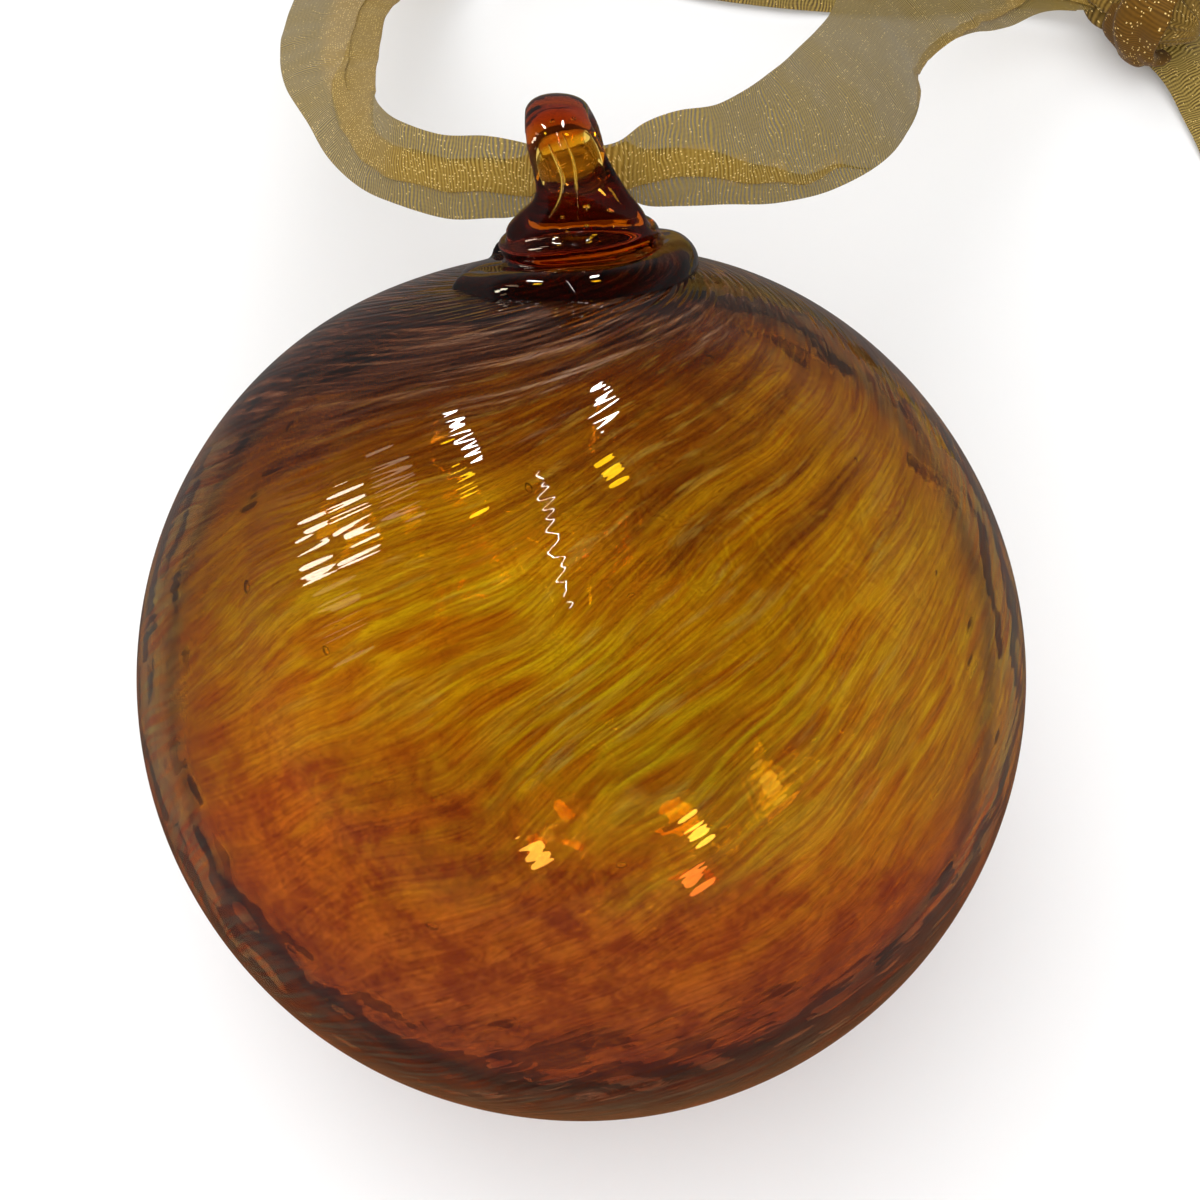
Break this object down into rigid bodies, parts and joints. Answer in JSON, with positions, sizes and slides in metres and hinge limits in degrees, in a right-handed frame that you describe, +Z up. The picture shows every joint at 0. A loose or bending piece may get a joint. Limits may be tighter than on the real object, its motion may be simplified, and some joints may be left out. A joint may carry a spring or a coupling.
{
  "type": "glass christmas ornament",
  "caption": "Hand-blown glass Christmas ball in swirled amber, orange and brown, with a hot-applied glass hanging loop and a knotted sheer gold ribbon threaded through it, lying at rest.",
  "frame": {"origin": "middle of the small flat spot that the ball rests on", "axes": "+Z up from the table; +Y the side the hanger leans to, so the hanger's axis rises from the table at 43 degrees towards +Y; +X to the right seen from the side away from the hanger"},
  "size_m": [0.1663, 0.2018, 0.0994],
  "materials": {
    "swirled_glass": "clear blown glass with swirled amber, orange and brown colour",
    "clear_amber_glass": "clear transparent amber glass, fire polished",
    "gold_organza": "sheer woven organza with metallic gold threads"
  },
  "bodies": {
    "root": {"blown_ball": "swirled_glass", "applied_hanger": "clear_amber_glass", "organza_ribbon": "gold_organza"}
  },
  "joints": []
}
